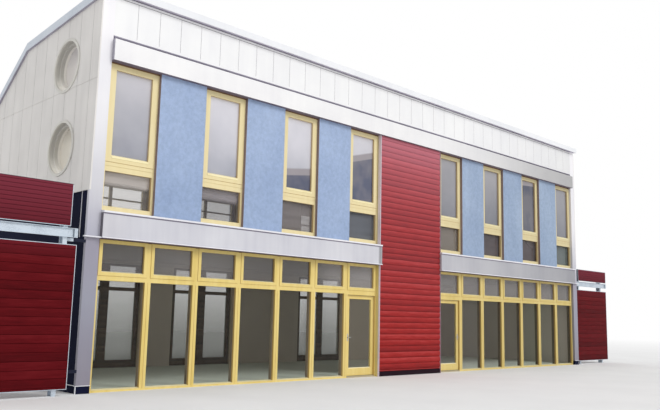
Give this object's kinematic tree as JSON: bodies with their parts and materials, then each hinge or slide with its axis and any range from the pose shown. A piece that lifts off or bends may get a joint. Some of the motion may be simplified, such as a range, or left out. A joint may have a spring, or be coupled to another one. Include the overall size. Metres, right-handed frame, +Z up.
{
  "type": "apartment building",
  "caption": "Low building of flats over glazed shop units, with yellow frames, blue panels, a red boarded bay, round end windows and hinged street doors.",
  "frame": {"origin": "on the ground under the middle of the building, half way along its length and its depth", "axes": "+X along the front towards the right end, +Y from the street front to the rear, +Z up"},
  "size_m": [25.71, 6.21, 8.37],
  "materials": {
    "floor_screed": "smooth, pale grey green",
    "concrete": "plain, matt",
    "dark_render": "dark blue render, matt",
    "grey_render": "grey render, matt",
    "blue_render": "blue render, rough",
    "beige_render": "beige render, matt",
    "pale_metal": "light warm grey panels, satin",
    "white_metal": "white, satin",
    "band_metal": "light lilac grey, satin",
    "roof_metal": "light grey, satin",
    "verge_metal": "blue grey, satin",
    "flashing": "mill finish, satin",
    "galvanised": "galvanised",
    "handle_steel": "brushed",
    "yellow_paint": "yellow paint on timber, satin",
    "brown_wood": "dark brown stain",
    "red_boards": "red stained boards",
    "clear_glass": "clear",
    "pale_glass": "pale, obscured"
  },
  "bodies": {
    "building": {"ground_floor": "floor_screed", "first_floor": "concrete", "left_end_wall": "dark_render", "right_end_wall": "dark_render", "gable_cladding": "pale_metal", "round_window_frames": "pale_metal", "round_window_glass": "pale_glass", "corner_piers": "band_metal", "front_plinths": "dark_render", "centre_wall": "grey_render", "red_cladding": "red_boards", "cladding_trims": "band_metal", "spandrel_walls": "grey_render", "first_floor_bands": "band_metal", "band_flashings": "flashing", "upper_fascia": "white_metal", "attic_wall": "grey_render", "attic_cladding": "white_metal", "coping": "white_metal", "upper_roof": "roof_metal", "rear_roof": "roof_metal", "verge_trims": "verge_metal", "rear_gutter": "white_metal", "blue_panels": "blue_render", "upper_window_frames": "yellow_paint", "upper_window_glass": "clear_glass", "left_shopfront": "yellow_paint", "right_shopfront": "yellow_paint", "shopfront_glass": "clear_glass", "door_jambs": "yellow_paint", "door_heads": "yellow_paint", "rear_wall_piers": "beige_render", "rear_wall_upper": "blue_render", "rear_screens": "brown_wood", "rear_screen_glass": "clear_glass", "rear_windows": "yellow_paint", "rear_window_glass": "clear_glass", "screen_boards": "red_boards", "screen_steelwork": "galvanised"},
    "door_left": {"left_door_leaf": "yellow_paint", "left_door_glass": "clear_glass", "left_door_handles": "handle_steel"},
    "door_right": {"right_door_leaf": "yellow_paint", "right_door_glass": "clear_glass", "right_door_handles": "handle_steel"}
  },
  "joints": [
    {"name": "left_door_hinge", "type": "hinge", "parent": "building", "child": "door_left", "pos_m": [-1.444, -2.724, 1], "axis": [0, 0, -1], "range_deg": [0, 90]},
    {"name": "right_door_hinge", "type": "hinge", "parent": "building", "child": "door_right", "pos_m": [1.444, -2.724, 1], "axis": [0, 0, 1], "range_deg": [0, 90]}
  ]
}
